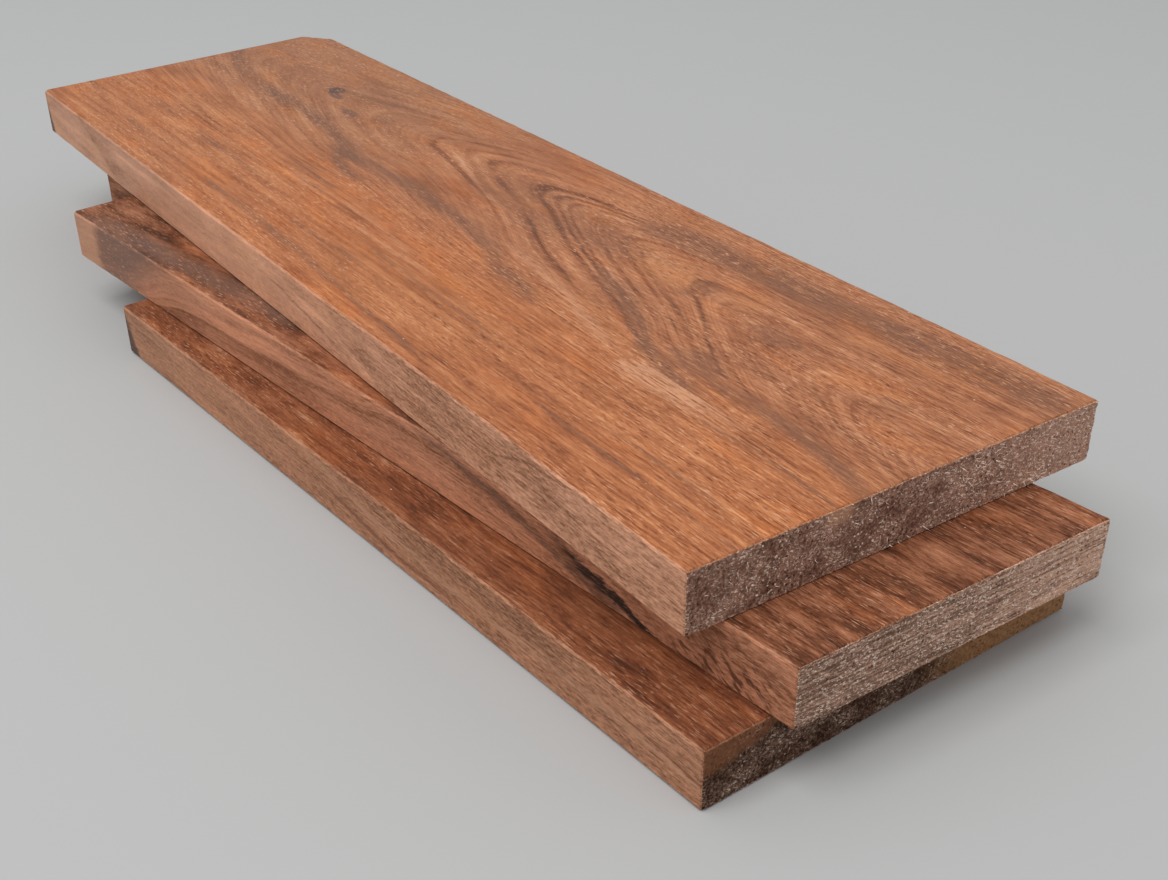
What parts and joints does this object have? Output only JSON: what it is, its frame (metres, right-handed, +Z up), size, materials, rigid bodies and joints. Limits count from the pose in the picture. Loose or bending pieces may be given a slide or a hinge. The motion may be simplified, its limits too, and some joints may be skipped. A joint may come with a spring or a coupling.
{
  "type": "stack of lumber",
  "caption": "Small stack of planed hardwood boards lying flat on one another, fanned a little out of line, with rough crosscut ends.",
  "frame": {"origin": "middle of the bottom board's underside, on the floor", "axes": "+X along the bottom board towards the near sawn end, +Y across it towards the back edge, +Z up"},
  "size_m": [0.554, 0.2049, 0.066],
  "materials": {
    "top_wood": "planed, dry",
    "middle_wood": "planed, dry",
    "bottom_wood": "planed, dry"
  },
  "bodies": {
    "root": {"top_board": "top_wood", "middle_board": "middle_wood", "bottom_board": "bottom_wood"}
  },
  "joints": []
}
